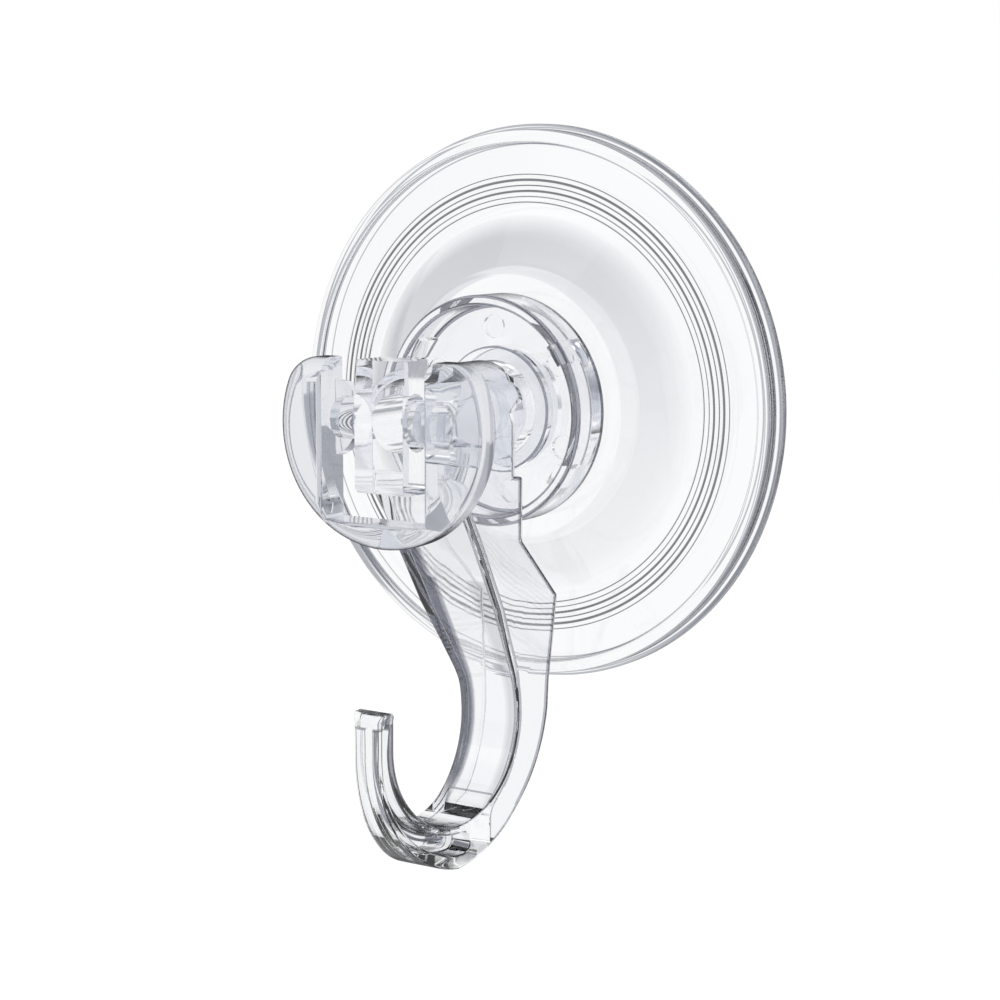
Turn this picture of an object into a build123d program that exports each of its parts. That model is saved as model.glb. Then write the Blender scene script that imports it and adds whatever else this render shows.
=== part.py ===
from build123d import *
import math
import os

os.makedirs("parts", exist_ok=True)

# A clear suction cup hook with a thumb lever.
# The wall is the plane Y = 0 and the hook stands out of it towards -Y.
# +X is to the right, +Z is up, and the origin is the centre of the cup's suction face.
# A depth is a distance out from the wall. All sizes are in millimetres.

# Suction cup
cup_radius = 42.6
lip_thickness = 1.3
rim_overhang = 0.8
bead_width = 2.0
bead_height = 0.9
annulus_depth = 3.3
groove_margin = 2.6
groove_pitch = 0.7
groove_count = 6
groove_depth = 0.35
groove_half_width = 0.22
cone_outer_radius = 28.9
cone_run = 8.5
cone_height = 5.7
hub_thickness = 5.0
dish_margin = 1.1
cup_corner = 1.5
bead_corner = 0.6

# Stem: a round post with a flange held in the cup and a flat head at the front
stem_radius = 4.2
stem_flange_radius = 9.0
stem_flange_thickness = 1.8
flange_cover = 1.8
stem_seat = 0.05
head_half_width = 4.2
head_back_reach = 2.8
head_front_reach = 3.6
head_rise = 8.7
head_drop = 10.3
head_step_rise = 5.4
head_step = 0.5
head_corner = 1.2

# Pressure disc: an open drum that sits on the cup's hub
disc_seat_gap = 0.1
disc_radius = 17.3
disc_wall = 1.6
disc_floor = 2.0
disc_height = 7.1
disc_ring_radius = 9.5
disc_ring_height = 1.5
neck_radius = 7.4
neck_recess = 0.4
stem_clearance = 0.3
mark_radius = 1.8
mark_circle_radius = 12.4
mark_count = 6
mark_turn = 5.0
mark_depth = 0.6
key_angles = (35, 145, 215, 325)
key_width = 3.4
key_thickness = 0.8

# Hook: an arched channel over the stem that runs down into the J
hook_half_width = 7.6
heel_half_width = 7.2
shank_half_width = 6.2
foot_half_width = 5.7
hook_wall = 1.3
channel_shank_half_width = 4.3
channel_foot_half_width = 3.9
front_wall = 1.5
notch_depth = 3.3
notch_top = 2.2
notch_bottom = -1.5
rear_edge_step = 2.5
rear_step_height = -9.3
rear_foot_height = -18.9
mark_notch_heights = (4.4, 6.0)
mark_notch_size = 0.7
heel_depth = 5.8
heel_height = -28.6
upper_front_height = -9.9
crease_step = 0.3
crease_height = -41.8
crease_radius = 13.0
throat_radius = 14.0
throat_depth = 28.0
throat_height = -46.2
shank_back_depth = 6.6
bend_thickness = 6.7
bend_bulge = 5.3
tip_thickness = 3.2
tip_rise = 5.6
shank_front_depth = 14.0
shank_front_half_width = 5.3
taper_start_depth = 17.0
taper_start_half_width = 5.2
bend_half_width = 4.4
tip_half_width = 2.1
tip_corner = 1.1
throat_flange = 1.3
outer_flange = 2.2
tip_flange = 0.8
tip_land = 2.2
web_thickness = 1.8
channel_end_depth = 20.0
bulkhead = 7.0
pocket_end_bulge = 1.5

# Lever: a D-shaped thumb plate on a cross pin
pin_depth = 38.2
pin_height = 0.5
pin_radius = 2.0
pin_grip = 1.5
pin_end_clearance = 0.2
pin_press = 0.02
pin_chamfer = 0.25
pin_running_clearance = 0.06
lever_radius = 17.4
lever_centre_height = -0.3
lever_rise = 9.6
lever_thickness = 5.5
lever_corner = 5.0
lever_dome = 3.4
window_half_width = 9.0
window_bar = 4.0
window_rounding = 2.6
hub_barrel_radius = 5.4
hub_barrel_width = 2.5
cam_width = 4.5
cam_locked = 5.0
cam_released = 3.0
cam_corner = 1.4
cam_gap = 0.25
lever_swing = 90.0
cam_steps = 6

# Planes of work: sections turned about Y, and the side view of depth against height
turning_view = Plane(origin=(0, 0, 0), x_dir=(1, 0, 0), z_dir=(0, 0, -1))
side_view = Plane(origin=(0, 0, 0), x_dir=(0, -1, 0), z_dir=(-1, 0, 0))
cut_margin = 1.0

# Sizes that follow from the ones above
reach = 2 * cup_radius
bead_outer_radius = cup_radius - rim_overhang
bead_inner_radius = bead_outer_radius - bead_width
bead_depth = annulus_depth + bead_height
groove_first_radius = cone_outer_radius + groove_margin
cone_inner_radius = cone_outer_radius - cone_run
hub_depth = annulus_depth + cone_height
dish_depth = hub_depth - hub_thickness
dish_outer_radius = cone_outer_radius + dish_margin
stem_flange_depth = dish_depth + flange_cover
stem_flange_front = stem_flange_depth + stem_flange_thickness
head_back_depth = pin_depth - head_back_reach
head_front_depth = pin_depth + head_front_reach
head_top = pin_height + head_rise
head_bottom = pin_height - head_drop
head_step_height = pin_height + head_step_rise
disc_back_depth = hub_depth + disc_seat_gap
disc_floor_depth = disc_back_depth + disc_floor
disc_front_depth = disc_back_depth + disc_height
arch_rear_depth = disc_front_depth - neck_recess
hook_front_depth = pin_depth - cam_locked - cam_gap
rear_edge_depth = arch_rear_depth + rear_edge_step
bend_bottom = throat_height - throat_radius - bend_thickness
crease_depth = throat_depth - throat_radius + crease_step
tip_top = throat_height + tip_rise
tip_inner_depth = throat_depth + throat_radius
tip_outer_depth = tip_inner_depth + tip_thickness
lever_back_depth = pin_depth
lever_front_depth = lever_back_depth + lever_thickness
lever_top = lever_centre_height + lever_rise
window_bottom = lever_centre_height - lever_radius + window_bar
hub_outer_half_width = window_half_width + hub_barrel_width
pin_half_length = window_half_width + pin_grip
cam_inner_half_width = window_half_width - cam_width


def corners_near(sketch, points):
    """The sketch's corners that lie nearest to the given points."""
    return [sketch.vertices().sort_by_distance(point)[0] for point in points]


# Suction cup: lip, rim bead, ringed annulus, cone and hub, with the dish behind
with BuildPart() as suction_cup:
    with BuildSketch(turning_view) as cup_section:
        with BuildLine():
            Polyline(
                (0, dish_depth),
                (cone_inner_radius, dish_depth),
                (dish_outer_radius, 0),
                (cup_radius, 0),
                (cup_radius, lip_thickness),
                (bead_outer_radius, lip_thickness + rim_overhang / 2),
                (bead_outer_radius, bead_depth),
                (bead_inner_radius, bead_depth),
                (bead_inner_radius, annulus_depth),
                (cone_outer_radius, annulus_depth),
                (cone_inner_radius, hub_depth),
                (0, hub_depth),
                close=True,
            )
        make_face()
        for index in range(groove_count):
            radius = groove_first_radius + index * groove_pitch
            with BuildLine():
                Polyline(
                    (radius - groove_half_width, annulus_depth),
                    (radius, annulus_depth - groove_depth),
                    (radius + groove_half_width, annulus_depth),
                    close=True,
                )
            make_face(mode=Mode.SUBTRACT)
        soft_corners = [
            (cone_outer_radius, annulus_depth),
            (cone_inner_radius, hub_depth),
            (cone_inner_radius, dish_depth),
        ]
        fillet(corners_near(cup_section, soft_corners), radius=cup_corner)
        bead_corners = [(bead_outer_radius, bead_depth), (bead_inner_radius, bead_depth)]
        fillet(corners_near(cup_section, bead_corners), radius=bead_corner)
        with Locations((stem_flange_radius / 2, stem_flange_depth + stem_flange_thickness / 2)):
            Rectangle(
                stem_flange_radius + 2 * stem_seat,
                stem_flange_thickness + 2 * stem_seat,
                mode=Mode.SUBTRACT,
            )
        with Locations((stem_radius / 2, hub_depth)):
            Rectangle(
                stem_radius + 2 * stem_seat,
                2 * (hub_depth - stem_flange_front),
                mode=Mode.SUBTRACT,
            )
    revolve(axis=Axis.Y)
suction_cup.part.label = "suction_cup"
export_step(suction_cup.part, "parts/suction_cup.step")


# Stem: flange, round post, and the flat head with its pin hole
with BuildPart() as stem:
    with BuildSketch(Plane.XZ.offset(stem_flange_depth)):
        Circle(stem_flange_radius)
    extrude(amount=stem_flange_thickness)
    with BuildSketch(Plane.XZ.offset(stem_flange_depth)):
        Circle(stem_radius)
    extrude(amount=head_back_depth - stem_flange_depth + head_step)
    with BuildSketch(side_view):
        with BuildLine():
            Polyline(
                (head_back_depth, head_top),
                (head_front_depth - head_step, head_top),
                (head_front_depth - head_step, head_step_height),
                (head_front_depth, head_step_height),
                (head_front_depth, head_bottom),
                (head_back_depth, head_bottom),
                close=True,
            )
        make_face()
    extrude(amount=head_half_width, both=True)
    lower_corners = stem.edges().filter_by(Axis.Y).group_by(Axis.Z)[0]
    fillet(lower_corners, radius=head_corner)
    with BuildSketch(side_view):
        with Locations((pin_depth, pin_height)):
            Circle(pin_radius + pin_press)
    extrude(amount=reach, both=True, mode=Mode.SUBTRACT)
stem.part.label = "stem"
export_step(stem.part, "parts/stem.step")


# Cross pin: it is fixed in the stem's head, and the lever snaps over its ends and turns on it
with BuildPart() as cross_pin:
    with BuildSketch(side_view):
        with Locations((pin_depth, pin_height)):
            Circle(pin_radius)
    extrude(amount=pin_half_length, both=True)
    chamfer(cross_pin.edges().filter_by(GeomType.CIRCLE), length=pin_chamfer)
cross_pin.part.label = "cross_pin"
export_step(cross_pin.part, "parts/cross_pin.step")


# Pressure disc: floor, drum wall, central neck, six round marks and four keys
with BuildPart() as pressure_disc:
    with BuildSketch(turning_view) as disc_section:
        with BuildLine():
            Polyline(
                (stem_radius + stem_clearance, disc_back_depth),
                (disc_radius, disc_back_depth),
                (disc_radius, disc_front_depth),
                (disc_radius - disc_wall, disc_front_depth),
                (disc_radius - disc_wall, disc_floor_depth),
                (disc_ring_radius, disc_floor_depth),
                (disc_ring_radius, disc_floor_depth + disc_ring_height),
                (neck_radius, disc_floor_depth + disc_ring_height),
                (neck_radius, arch_rear_depth),
                (stem_radius + stem_clearance, arch_rear_depth),
                close=True,
            )
        make_face()
        rim_corners = corners_near(
            disc_section,
            [(disc_radius, disc_front_depth), (disc_radius - disc_wall, disc_front_depth)],
        )
        fillet(rim_corners, radius=disc_wall / 4)
    revolve(axis=Axis.Y)
    with BuildSketch(Plane.XZ.offset(disc_floor_depth)):
        with PolarLocations(mark_circle_radius, mark_count, start_angle=90 + mark_turn):
            Circle(mark_radius)
    extrude(amount=-mark_depth, mode=Mode.SUBTRACT)
    with BuildSketch(Plane.XZ.offset(disc_floor_depth - disc_floor / 2)):
        for angle in key_angles:
            with PolarLocations(disc_radius - disc_wall, 1, start_angle=angle):
                Rectangle(2 * key_thickness, key_width)
    extrude(amount=disc_front_depth - disc_floor_depth)
pressure_disc.part.label = "pressure_disc"
export_step(pressure_disc.part, "parts/pressure_disc.step")


def front_outline(top, heel, shank, foot):
    """A front view from four half widths: an arch on top, tapering sides below."""
    right = [
        (top, 0),
        (top, rear_foot_height),
        (heel, heel_height),
        (shank, crease_height),
        (foot, bend_bottom - cut_margin),
    ]
    left = [(-width, height) for width, height in reversed(right)]
    with BuildSketch(Plane.XZ) as front:
        with BuildLine():
            ThreePointArc((-top, 0), (0, top), (top, 0))
            Polyline(*right, *left)
        make_face()
    return front.sketch


def bulge_point(start, end, bulge):
    """The middle of an arc from start to end that stands out to the left of their line."""
    run = end[0] - start[0]
    rise = end[1] - start[1]
    length = math.hypot(run, rise)
    middle_depth = (start[0] + end[0]) / 2 - rise / length * bulge
    middle_height = (start[1] + end[1]) / 2 + run / length * bulge
    return (middle_depth, middle_height)


def slanted_front(inset):
    """Two points of the slanted front wall, moved back by an inset square to the wall."""
    run = hook_front_depth - crease_depth
    rise = upper_front_height - crease_height
    length = math.hypot(run, rise)
    shift = Vector(-rise / length * inset, run / length * inset)
    top_point = Vector(hook_front_depth, upper_front_height) + shift
    low_point = Vector(crease_depth, crease_height) + shift
    return top_point, low_point


def side_cut(side, height, plan):
    """What lies beside a plan line of (depth, half width) points, at a height, on one side."""
    outside = 2 * hook_half_width
    points = [(plan[0][0], outside), *plan, (plan[-1][0], outside)]
    with BuildSketch(Plane.XY.offset(height)) as cut:
        with BuildLine():
            Polyline([(side * width, -depth) for depth, width in points], close=True)
        make_face()
    return cut.sketch


hook_front_view = front_outline(
    hook_half_width, heel_half_width, shank_half_width, foot_half_width
)
channel_front_view = front_outline(
    hook_half_width - hook_wall,
    heel_half_width - hook_wall,
    channel_shank_half_width,
    channel_foot_half_width,
)

# Half widths of the hook at its heel, its shank and its bend, from the back to the front
heel_plan = [
    (heel_depth, heel_half_width),
    (shank_front_depth, heel_half_width),
    (hook_front_depth, heel_half_width),
]
shank_plan = [
    (heel_depth, shank_half_width),
    (shank_front_depth, shank_front_half_width),
    (taper_start_depth, taper_start_half_width),
]
tip_plan = [
    (taper_start_depth, taper_start_half_width),
    (throat_depth, bend_half_width),
    (tip_outer_depth, tip_half_width),
    (tip_outer_depth + cut_margin, tip_half_width),
]

# Channel: the space behind the hook's front wall and between its side walls
with BuildPart() as channel:
    with BuildSketch(side_view) as channel_side:
        wall_top, wall_low = slanted_front(front_wall)
        slope = (wall_top.Y - wall_low.Y) / (wall_top.X - wall_low.X)
        mouth_depth = hook_front_depth + front_wall
        mouth = (mouth_depth, wall_top.Y + slope * (mouth_depth - wall_top.X))
        inner_radius = throat_radius + throat_flange
        end_angle = math.acos((throat_depth - channel_end_depth) / inner_radius)
        with BuildLine():
            shank_line = Polyline(
                (0, hook_half_width),
                (mouth_depth, hook_half_width),
                mouth,
                (wall_low.X, wall_low.Y),
                (throat_depth - inner_radius, throat_height),
            )
            bend_line = ThreePointArc(
                shank_line @ 1,
                (
                    throat_depth - inner_radius * math.cos(end_angle / 2),
                    throat_height - inner_radius * math.sin(end_angle / 2),
                ),
                (channel_end_depth, throat_height - inner_radius * math.sin(end_angle)),
            )
            Polyline(
                bend_line @ 1,
                (channel_end_depth, bend_bottom - cut_margin),
                (0, bend_bottom - cut_margin),
                (0, hook_half_width),
            )
        make_face()
        wall_bend = corners_near(channel_side, [(wall_low.X, wall_low.Y)])
        fillet(wall_bend, radius=crease_radius + front_wall)
    extrude(amount=hook_half_width, both=True)
    extrude(channel_front_view, amount=reach, mode=Mode.INTERSECT)


# Hook: the outline seen from the side, narrowed, hollowed and pocketed
with BuildPart() as hook:
    with BuildSketch(side_view) as hook_side:
        with BuildLine():
            front_line = Polyline(
                (arch_rear_depth, hook_half_width + cut_margin),
                (hook_front_depth, hook_half_width + cut_margin),
                (hook_front_depth, upper_front_height),
                (crease_depth, crease_height),
                (throat_depth - throat_radius, throat_height),
            )
            throat = ThreePointArc(
                front_line @ 1,
                (throat_depth, throat_height - throat_radius),
                (tip_inner_depth, throat_height),
            )
            tip = Polyline(
                throat @ 1,
                (tip_inner_depth, tip_top),
                (tip_outer_depth, tip_top),
                (tip_outer_depth, throat_height),
            )
            lowest_point = (throat_depth, bend_bottom)
            outer_bend = ThreePointArc(
                tip @ 1,
                bulge_point((tip_outer_depth, throat_height), lowest_point, bend_bulge),
                lowest_point,
            )
            shank_back = (shank_back_depth, throat_height)
            back_bend = ThreePointArc(
                outer_bend @ 1,
                bulge_point(lowest_point, shank_back, bend_bulge),
                shank_back,
            )
            Polyline(
                back_bend @ 1,
                (heel_depth, heel_height),
                (disc_front_depth, rear_foot_height),
                (disc_front_depth, rear_step_height),
                (rear_edge_depth, rear_step_height),
                (rear_edge_depth, notch_bottom),
                (arch_rear_depth + notch_depth, (notch_bottom + notch_top) / 2),
                (arch_rear_depth, notch_top),
                (arch_rear_depth, hook_half_width + cut_margin),
            )
        make_face()
        for height in mark_notch_heights:
            with Locations((arch_rear_depth, height)):
                RegularPolygon(radius=mark_notch_size, side_count=4, mode=Mode.SUBTRACT)
        slant_bend = corners_near(hook_side, [(crease_depth, crease_height)])
        fillet(slant_bend, radius=crease_radius)
        tip_corners = [(tip_inner_depth, tip_top), (tip_outer_depth, tip_top)]
        fillet(corners_near(hook_side, tip_corners), radius=tip_corner)
    extrude(amount=hook_half_width, both=True)
    extrude(hook_front_view, amount=reach, mode=Mode.INTERSECT)
    for side in (-1, 1):
        heel_cut = side_cut(side, heel_height, heel_plan)
        shank_cut = side_cut(side, crease_height, shank_plan)
        loft([heel_cut, shank_cut], ruled=True, mode=Mode.SUBTRACT)
        extrude(shank_cut, amount=bend_bottom - cut_margin - crease_height, mode=Mode.SUBTRACT)
        tip_cut = side_cut(side, tip_top + cut_margin, tip_plan)
        extrude(tip_cut, amount=bend_bottom - tip_top - 2 * cut_margin, mode=Mode.SUBTRACT)
    add(channel.part, mode=Mode.SUBTRACT)
    pocket_start_depth = channel_end_depth + bulkhead
    pocket_radius = throat_radius + throat_flange
    pocket_angle = math.acos((pocket_start_depth - throat_depth) / pocket_radius)
    for side in (-1, 1):
        with BuildSketch(Plane.YZ.offset(side * web_thickness / 2)):
            with BuildLine():
                inner = ThreePointArc(
                    (
                        -pocket_start_depth,
                        throat_height - pocket_radius * math.sin(pocket_angle),
                    ),
                    (
                        -throat_depth - pocket_radius * math.cos(pocket_angle / 2),
                        throat_height - pocket_radius * math.sin(pocket_angle / 2),
                    ),
                    (-tip_inner_depth - tip_flange, throat_height),
                )
                limb = Line(inner @ 1, (-tip_inner_depth - tip_flange, tip_top - tip_land))
                cap = Line(limb @ 1, (-tip_outer_depth + tip_flange, tip_top - tip_land))
                back = Line(cap @ 1, (-tip_outer_depth + tip_flange, throat_height))
                pocket_low = (pocket_start_depth, bend_bottom + outer_flange)
                low_middle = bulge_point(
                    (tip_outer_depth - tip_flange, throat_height), pocket_low, bend_bulge
                )
                outer = ThreePointArc(
                    back @ 1,
                    (-low_middle[0], low_middle[1]),
                    (-pocket_start_depth, bend_bottom + outer_flange),
                )
                end_height = ((outer @ 1).Y + (inner @ 0).Y) / 2
                ThreePointArc(
                    outer @ 1,
                    (-pocket_start_depth + pocket_end_bulge, end_height),
                    inner @ 0,
                )
            make_face()
        extrude(amount=side * hook_half_width, mode=Mode.SUBTRACT)
hook.part.label = "hook"
export_step(hook.part, "parts/hook.step")


def cam_point(angle):
    """A point of the cam's flank, whose reach falls evenly with the lever's angle."""
    turn = math.radians(angle)
    fall = (cam_locked - cam_released) / math.radians(lever_swing)
    distance = cam_locked - fall * turn
    to_wall = distance * math.cos(turn) + fall * math.sin(turn)
    up = distance * math.sin(turn) - fall * math.cos(turn)
    return (pin_depth - to_wall, pin_height + up)


# Window rounder: what is taken off the front edges of the lever's window
with BuildPart() as window_rounder:
    edge_depth = -lever_front_depth + window_rounding
    arc_side = window_rounding * (1 - math.cos(math.pi / 4))
    with BuildSketch(Plane.XY.offset(window_bottom)) as side_section:
        with BuildLine():
            side_line = Polyline(
                (window_half_width, edge_depth),
                (window_half_width, -lever_front_depth - cut_margin),
                (window_half_width + window_rounding, -lever_front_depth - cut_margin),
                (window_half_width + window_rounding, -lever_front_depth),
            )
            ThreePointArc(
                side_line @ 1,
                (window_half_width + arc_side, -lever_front_depth + arc_side),
                side_line @ 0,
            )
        make_face()
    extrude(amount=2 * lever_radius)
    revolve(
        side_section.sketch,
        axis=Axis((window_half_width, 0, window_bottom), (0, 1, 0)),
    )
    mirror(about=Plane.YZ)
    with BuildSketch(Plane.YZ.offset(-window_half_width)):
        with BuildLine():
            low_line = Polyline(
                (edge_depth, window_bottom),
                (-lever_front_depth - cut_margin, window_bottom),
                (-lever_front_depth - cut_margin, window_bottom - window_rounding),
                (-lever_front_depth, window_bottom - window_rounding),
            )
            ThreePointArc(
                low_line @ 1,
                (-lever_front_depth + arc_side, window_bottom - arc_side),
                low_line @ 0,
            )
        make_face()
    extrude(amount=2 * window_half_width)


# Lever: the D-shaped plate with its window, hub barrels and cams
with BuildPart() as cam_lever:
    with BuildSketch(Plane.XZ.offset(lever_back_depth)) as lever_face:
        with Locations((0, lever_centre_height)):
            Circle(lever_radius)
        with Locations((0, lever_top)):
            Rectangle(
                2 * (lever_radius + cut_margin),
                2 * lever_radius,
                align=(Align.CENTER, Align.MIN),
                mode=Mode.SUBTRACT,
            )
        fillet(lever_face.vertices(), radius=lever_corner)
    extrude(amount=lever_thickness)
    front_edges = cam_lever.faces().sort_by(Axis.Y)[0].edges()
    fillet(front_edges, radius=lever_dome)
    with BuildSketch(Plane.XZ) as window:
        with Locations((0, window_bottom)):
            Rectangle(
                2 * window_half_width,
                2 * lever_radius,
                align=(Align.CENTER, Align.MIN),
            )
    extrude(amount=reach, mode=Mode.SUBTRACT)
    add(window_rounder.part, mode=Mode.SUBTRACT)
    with BuildSketch(side_view):
        with Locations((pin_depth, pin_height)):
            Circle(hub_barrel_radius)
    extrude(amount=hub_outer_half_width, both=True)
    extrude(window.sketch, amount=reach, mode=Mode.SUBTRACT)
    for side in (-1, 1):
        with BuildSketch(Plane.YZ.offset(side * cam_inner_half_width)) as cam_face:
            angles = [lever_swing * step / cam_steps for step in range(cam_steps + 1)]
            flank = [cam_point(angle) for angle in angles]
            with BuildLine():
                curve = Spline(*[(-depth, height) for depth, height in flank])
                top = Line(curve @ 1, (-pin_depth, pin_height + cam_released))
                nose = ThreePointArc(
                    top @ 1,
                    (-pin_depth - cam_released, pin_height),
                    (-pin_depth, pin_height - cam_released),
                )
                under = Line(
                    nose @ 1,
                    (-pin_depth + cam_locked - cam_corner, pin_height - cam_released),
                )
                heel = RadiusArc(
                    under @ 1,
                    (-pin_depth + cam_locked, pin_height - cam_released + cam_corner),
                    -cam_corner,
                )
                Line(heel @ 1, curve @ 0)
            make_face()
        extrude(amount=side * (cam_width + hub_barrel_width / 2))
    with BuildSketch(side_view):
        with Locations((pin_depth, pin_height)):
            Circle(pin_radius + pin_running_clearance)
    bore_half_length = pin_half_length + pin_end_clearance
    extrude(amount=bore_half_length, both=True, mode=Mode.SUBTRACT)
cam_lever.part.label = "cam_lever"
export_step(cam_lever.part, "parts/cam_lever.step")
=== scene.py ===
import bmesh
import bpy
from math import acos, asin, atan2, cos, degrees, hypot, pi, radians, sin, tan
from mathutils import Matrix, Vector


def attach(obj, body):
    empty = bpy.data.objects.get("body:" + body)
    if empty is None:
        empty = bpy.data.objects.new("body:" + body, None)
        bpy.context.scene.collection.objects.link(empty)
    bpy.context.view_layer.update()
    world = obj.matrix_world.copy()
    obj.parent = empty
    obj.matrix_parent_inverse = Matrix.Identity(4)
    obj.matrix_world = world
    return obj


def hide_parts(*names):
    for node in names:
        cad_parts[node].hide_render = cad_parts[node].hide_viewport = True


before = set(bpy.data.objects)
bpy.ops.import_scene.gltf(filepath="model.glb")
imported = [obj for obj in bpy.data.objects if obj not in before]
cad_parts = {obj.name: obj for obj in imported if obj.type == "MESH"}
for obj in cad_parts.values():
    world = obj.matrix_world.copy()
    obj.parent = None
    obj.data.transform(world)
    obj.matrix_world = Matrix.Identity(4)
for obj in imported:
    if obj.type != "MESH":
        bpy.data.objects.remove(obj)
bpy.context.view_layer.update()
print("frame loaded")

scene = bpy.context.scene
scene.view_settings.view_transform = "Standard"

# Camera: slightly above the hook and to its right, with a long lens
view = {
    "position": (0.1965, -0.3067, 0.0359),
    "right": (0.8329, 0.5534, 0.0),
    "up": (-0.0770, 0.1159, 0.9902),
    "back": (0.5480, -0.8248, 0.1392),
    "lens": 85.0,
    "sensor": 36.0,
}


def makeCamera():
    data = bpy.data.cameras.new("camera")
    data.lens = view["lens"]
    data.sensor_width = view["sensor"]
    camera = bpy.data.objects.new("camera", data)
    scene.collection.objects.link(camera)
    axes = Matrix((view["right"], view["up"], view["back"])).transposed().to_4x4()
    camera.matrix_world = Matrix.Translation(view["position"]) @ axes
    scene.camera = camera


makeCamera()
print("camera placed")


# Studio: white all round the hook. Light that has turned inside a clear wall also meets
# dark cards at both sides, above and below, so that the edges draw dark with thin highlights.
studio = {
    "brightHeight": 0.50,
    "darkHeight": 0.95,
    "white": (1.0, 1.0, 1.0, 1),
    "overhead": (0.45, 0.46, 0.49, 1),
    "card": (0.40, 0.415, 0.45, 1),
    "side": (0.8329, 0.5534, 0.0),
    "sideCards": ((0.46, 0), (0.54, 1), (0.74, 1), (0.79, 0), (0.88, 0), (0.93, 1)),
    "highCards": ((0.10, 1), (0.20, 1), (0.27, 0), (0.78, 0), (0.84, 1), (0.90, 1), (0.95, 0)),
    "turned": 0.92,  # how much of the turned light meets the cards
    "lastDepth": 8.5,  # light that has crossed more walls meets none
}
black, full = (0, 0, 0, 1), (1, 1, 1, 1)


def ramp(nodes, stops):
    node = nodes.new("ShaderNodeValToRGB")
    elements = node.color_ramp.elements
    while len(elements) < len(stops):
        elements.new(0.5)
    for element, (position, colour) in zip(elements, stops):
        element.position = position
        element.color = colour
    return node


def maths(nodes, links, operation, first, second):
    node = nodes.new("ShaderNodeMath")
    node.operation = operation
    for socket, value in zip(node.inputs, (first, second)):
        if isinstance(value, (int, float)):
            socket.default_value = value
        else:
            links.new(value, socket)
    return node.outputs[0]


def mixColours(nodes, links, factor, first, second):
    node = nodes.new("ShaderNodeMix")
    node.data_type = "RGBA"
    for name, value in (("Factor", factor), ("A", first), ("B", second)):
        if isinstance(value, (tuple, float)):
            node.inputs[name].default_value = value
        else:
            links.new(value, node.inputs[name])
    return node.outputs["Result"]


def product(nodes, links, first, *others):
    for other in others:
        first = maths(nodes, links, "MULTIPLY", first, other)
    return first


def mapRange(nodes, links, value, low, high, lowest=0.0, highest=1.0):
    node = nodes.new("ShaderNodeMapRange")
    for name, limit in (
        ("From Min", low), ("From Max", high), ("To Min", lowest), ("To Max", highest),
    ):
        node.inputs[name].default_value = limit
    links.new(value, node.inputs["Value"])
    return node.outputs["Result"]


def dotWith(nodes, links, coords, direction):
    node = nodes.new("ShaderNodeVectorMath")
    node.operation = "DOT_PRODUCT"
    node.inputs[1].default_value = direction
    links.new(coords, node.inputs[0])
    return node.outputs["Value"]


# The place on a piece, whole and by axis
def pieceCoords(nodes, links):
    coords = nodes.new("ShaderNodeTexCoord").outputs["Object"]
    place = nodes.new("ShaderNodeSeparateXYZ")
    links.new(coords, place.inputs[0])
    return coords, place.outputs


# Distance from the cup's axis, which stands square to the wall
def axisDistance(nodes, links, coords):
    flat = nodes.new("ShaderNodeVectorMath")
    flat.operation = "MULTIPLY"
    flat.inputs[1].default_value = (1, 0, 1)
    links.new(coords, flat.inputs[0])
    length = nodes.new("ShaderNodeVectorMath")
    length.operation = "LENGTH"
    links.new(flat.outputs[0], length.inputs[0])
    return length.outputs["Value"]


# Dark cards by position along a direction: 1 where a stop is on a card, 0 beside it
def cardRamp(nodes, links, position, stops):
    cards = ramp(nodes, [
        (stop, studio["card"] if onCard else studio["white"]) for stop, onCard in stops
    ])
    links.new(position, cards.inputs[0])
    return cards.outputs[0]


def makeWorld():
    world = bpy.data.worlds.new("studioWorld")
    scene.world = world
    world.use_nodes = True
    nodes, links = world.node_tree.nodes, world.node_tree.links
    nodes.clear()
    out = nodes.new("ShaderNodeOutputWorld")
    back = nodes.new("ShaderNodeBackground")
    links.new(back.outputs[0], out.inputs[0])
    path = nodes.new("ShaderNodeLightPath").outputs
    coords = nodes.new("ShaderNodeTexCoord").outputs["Generated"]
    split = nodes.new("ShaderNodeSeparateXYZ")
    links.new(coords, split.inputs[0])
    height = maths(nodes, links, "ABSOLUTE", split.outputs["Z"], 0.0)
    room = ramp(nodes, [
        (studio["brightHeight"], studio["white"]), (studio["darkHeight"], studio["overhead"]),
    ])
    links.new(height, room.inputs[0])
    aside = dotWith(nodes, links, coords, studio["side"])
    aside = maths(nodes, links, "ABSOLUTE", aside, 0.0)
    lift = mapRange(nodes, links, split.outputs["Z"], -1.0, 1.0)
    cards = mixColours(
        nodes, links, 1.0, cardRamp(nodes, links, aside, studio["sideCards"]),
        cardRamp(nodes, links, lift, studio["highCards"]),
    )
    cards.node.blend_type = "MULTIPLY"
    glossy = maths(nodes, links, "MINIMUM", path["Glossy Depth"], 1.0)
    through = maths(nodes, links, "MINIMUM", path["Transmission Depth"], 1.0)
    early = maths(nodes, links, "LESS_THAN", path["Ray Depth"], studio["lastDepth"])
    turned = product(nodes, links, glossy, through, studio["turned"], early)
    seen = mixColours(nodes, links, glossy, studio["white"], room.outputs[0])
    seen = mixColours(nodes, links, turned, seen, cards)
    links.new(seen, back.inputs["Color"])
    back.inputs["Strength"].default_value = 1.0


makeWorld()
print("studio made")


# A moulded surface: slow waves left by the mould, fine flow lines and rubbed patches
mouldMarks = {
    "waveDetail": 1.0, "waveRoughness": 0.4, "lineDetail": 3.0,
    "lineStretch": (1.0, 1.0, 0.12), "patchFrom": 0.52, "patchTo": 0.72,
}


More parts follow.
